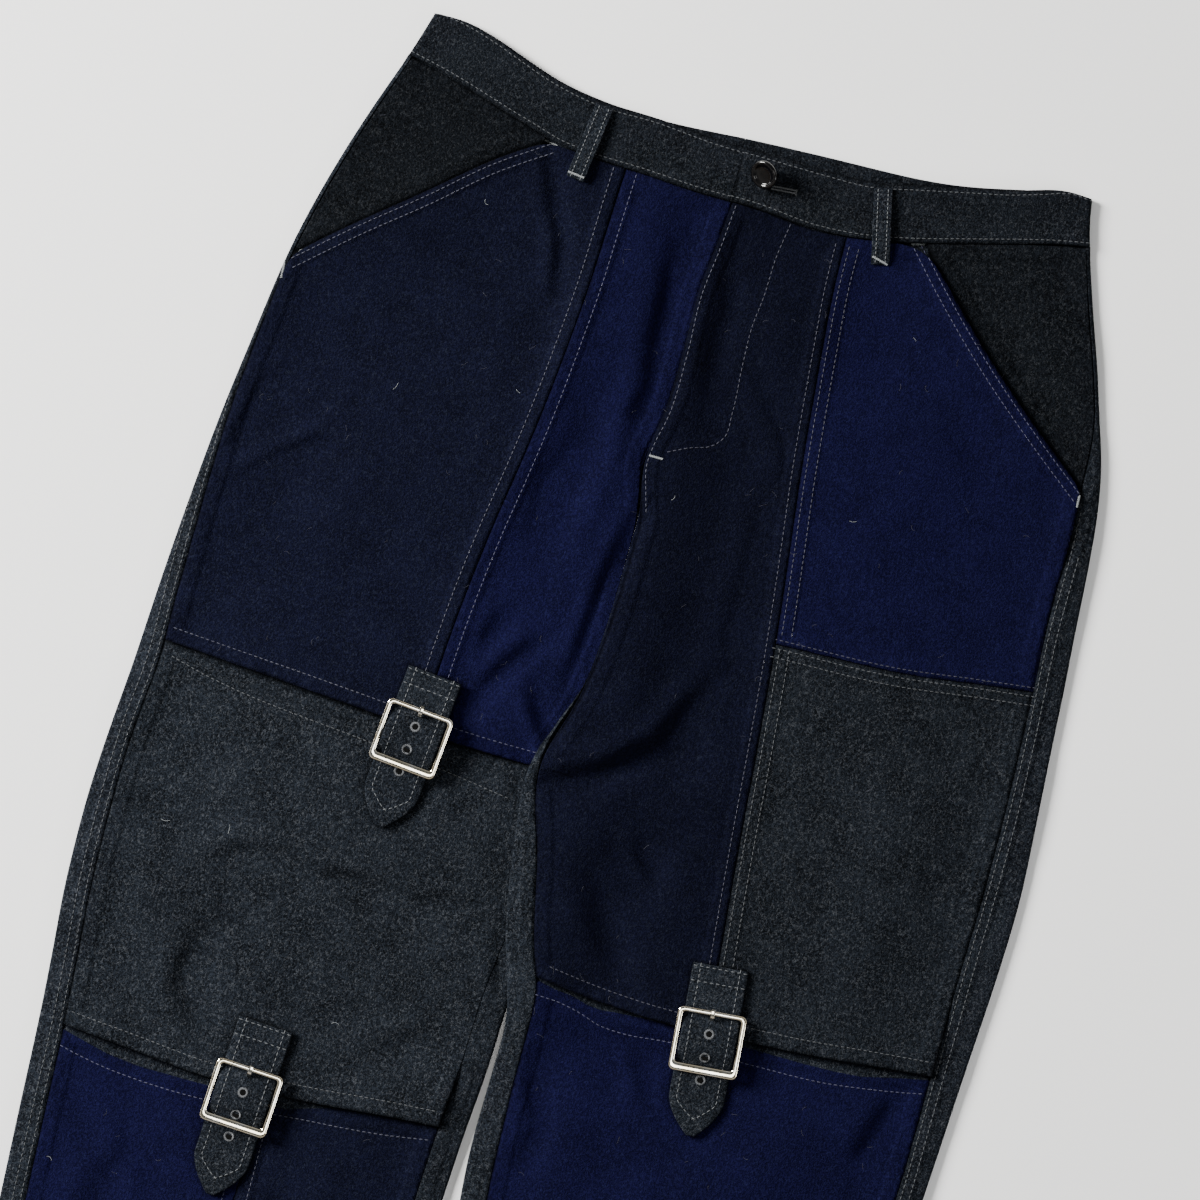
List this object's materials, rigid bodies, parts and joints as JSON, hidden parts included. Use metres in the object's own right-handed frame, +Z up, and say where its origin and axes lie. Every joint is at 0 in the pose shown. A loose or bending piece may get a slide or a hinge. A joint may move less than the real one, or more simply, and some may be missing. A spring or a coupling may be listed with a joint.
{
  "type": "patchwork trousers",
  "caption": "Wide wool trousers laid flat, patched from three dark cloths, with strap-and-buckle tabs over slit knees and a buttoned waistband with belt loops.",
  "frame": {"origin": "middle of the part's own box, on the table it lies on", "axes": "+Z up from the table, +Y from the hems to the waist, +X to the wearer's left"},
  "size_m": [0.626, 1.0612, 0.0245],
  "materials": {
    "charcoal_wool": "brushed melange wool",
    "navy_wool": "brushed wool",
    "ink_wool": "brushed melange wool",
    "nickel": "polished nickel",
    "horn": "polished dark horn resin"
  },
  "bodies": {
    "root": {"front_right_knee": "charcoal_wool", "front_left_thigh": "charcoal_wool", "pocket_facing_right": "charcoal_wool", "pocket_facing_left": "charcoal_wool", "back_right": "charcoal_wool", "back_left": "charcoal_wool", "waistband_right": "charcoal_wool", "waistband_left": "charcoal_wool", "belt_loop_front_right": "charcoal_wool", "belt_loop_front_left": "charcoal_wool", "belt_loop_back_right": "charcoal_wool", "belt_loop_back_centre": "charcoal_wool", "belt_loop_back_left": "charcoal_wool", "strap_thigh_right": "charcoal_wool", "strap_knee_right": "charcoal_wool", "strap_knee_left": "charcoal_wool", "buckle_tab_thigh_right": "charcoal_wool", "buckle_tab_knee_right": "charcoal_wool", "buckle_tab_knee_left": "charcoal_wool", "front_right_centre": "navy_wool", "front_right_shin_outer": "navy_wool", "front_left_hip": "navy_wool", "front_left_shin": "navy_wool", "front_right_thigh": "ink_wool", "front_right_shin_inner": "ink_wool", "front_left_centre": "ink_wool", "buckle_thigh_right": "nickel", "prong_thigh_right": "nickel", "buckle_knee_right": "nickel", "prong_knee_right": "nickel", "buckle_knee_left": "nickel", "prong_knee_left": "nickel", "waist_button": "horn"}
  },
  "joints": []
}
